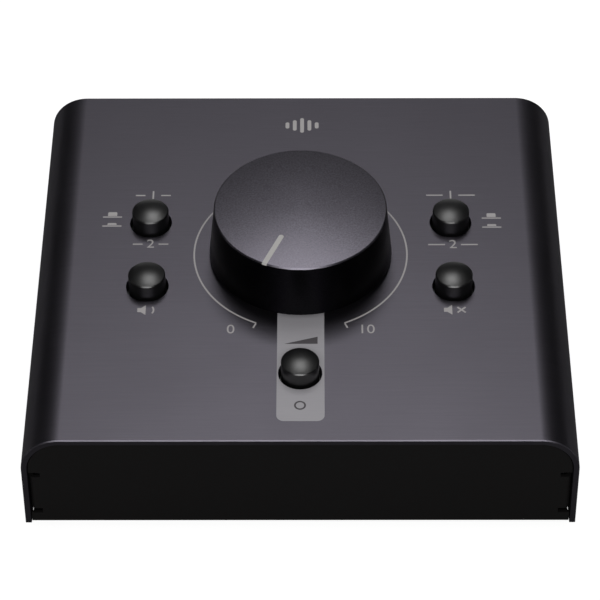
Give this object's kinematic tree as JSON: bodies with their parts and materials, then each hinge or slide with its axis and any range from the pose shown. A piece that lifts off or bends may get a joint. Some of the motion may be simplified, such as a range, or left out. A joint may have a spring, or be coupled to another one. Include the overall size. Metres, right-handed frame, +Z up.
{
  "type": "studio monitor controller",
  "caption": "Wedge-shaped desktop monitor controller: bent aluminium cover over a folded tray, large volume knob, latching push buttons and rear audio sockets.",
  "frame": {"origin": "middle of the whole part in plan, at desk height under the feet", "axes": "+Z up, +X to the user's right, -Y to the front"},
  "size_m": [0.145, 0.1416, 0.0573],
  "materials": {
    "anodised_aluminium": "brushed and satin anodised, dark grey",
    "black_anodised_aluminium": "turned and satin anodised, black",
    "black_powder_coat": "fine satin powder coat",
    "black_screw": "blackened steel",
    "black_rubber": "matt",
    "pointer_paint": "light grey fill paint",
    "black_abs": "satin moulded",
    "black_nylon": "moulded",
    "white_acetal": "moulded",
    "zinc_plate": "bright zinc plated",
    "nickel_brass": "nickel plated",
    "brown_laminate": "phenolic",
    "green_board": "solder resist",
    "spring_steel": "drawn",
    "grey_cable": "grey insulation",
    "phono_collar": "coloured insulator"
  },
  "bodies": {
    "case": {"cover": "anodised_aluminium", "chassis_tray": "black_powder_coat", "cover_screws": "black_screw", "rubber_feet": "black_rubber", "pot_bushing": "nickel_brass", "pot_washer": "zinc_plate", "pot_nut": "zinc_plate", "pot_wafers": "brown_laminate", "pot_rear_plate": "zinc_plate", "pot_terminals": "nickel_brass", "pot_board": "green_board", "switch_housings": "black_nylon", "control_board": "green_board", "panel_posts": "zinc_plate", "panel_board_screws": "zinc_plate", "main_board": "green_board", "floor_posts": "zinc_plate", "main_board_screws": "zinc_plate", "input_a_jacks": "black_nylon", "monitor_a_jacks": "black_nylon", "monitor_b_jacks": "black_nylon", "jack_nuts": "nickel_brass", "rca_housing": "black_nylon", "rca_shells": "nickel_brass", "rca_collars": "phono_collar", "flat_cable": "grey_cable", "input_select_spring": "spring_steel", "dim_spring": "spring_steel", "monitor_select_spring": "spring_steel", "mute_spring": "spring_steel", "mono_spring": "spring_steel"},
    "volume_knob": {"knob_shell": "black_anodised_aluminium", "knob_insert": "black_nylon", "knob_pointer": "pointer_paint", "pot_shaft": "nickel_brass"},
    "input_select_key": {"input_select_button": "black_abs", "input_select_plunger": "white_acetal"},
    "dim_key": {"dim_button": "black_abs", "dim_plunger": "white_acetal"},
    "monitor_select_key": {"monitor_select_button": "black_abs", "monitor_select_plunger": "white_acetal"},
    "mute_key": {"mute_button": "black_abs", "mute_plunger": "white_acetal"},
    "mono_key": {"mono_button": "black_abs", "mono_plunger": "white_acetal"}
  },
  "joints": [
    {"name": "volume_turn", "type": "hinge", "parent": "case", "child": "volume_knob", "pos_m": [0, -0.00228, 0.03952], "axis": [0, 0.0774, -0.997], "range_deg": [0, 312]},
    {"name": "input_select_press", "type": "slide", "parent": "case", "child": "input_select_key", "axis": [0, 0.0774, -0.997], "range_m": [0, 0.003], "stiffness_N_per_m": 300, "springref_m": -0.003, "deforming": ["input_select_spring"]},
    {"name": "dim_press", "type": "slide", "parent": "case", "child": "dim_key", "axis": [0, 0.0774, -0.997], "range_m": [0, 0.003], "stiffness_N_per_m": 300, "springref_m": -0.003, "deforming": ["dim_spring"]},
    {"name": "monitor_select_press", "type": "slide", "parent": "case", "child": "monitor_select_key", "axis": [0, 0.0774, -0.997], "range_m": [0, 0.003], "stiffness_N_per_m": 300, "springref_m": -0.003, "deforming": ["monitor_select_spring"]},
    {"name": "mute_press", "type": "slide", "parent": "case", "child": "mute_key", "axis": [0, 0.0774, -0.997], "range_m": [0, 0.003], "stiffness_N_per_m": 300, "springref_m": -0.003, "deforming": ["mute_spring"]},
    {"name": "mono_press", "type": "slide", "parent": "case", "child": "mono_key", "axis": [0, 0.0774, -0.997], "range_m": [0, 0.003], "stiffness_N_per_m": 300, "springref_m": -0.003, "deforming": ["mono_spring"]}
  ]
}
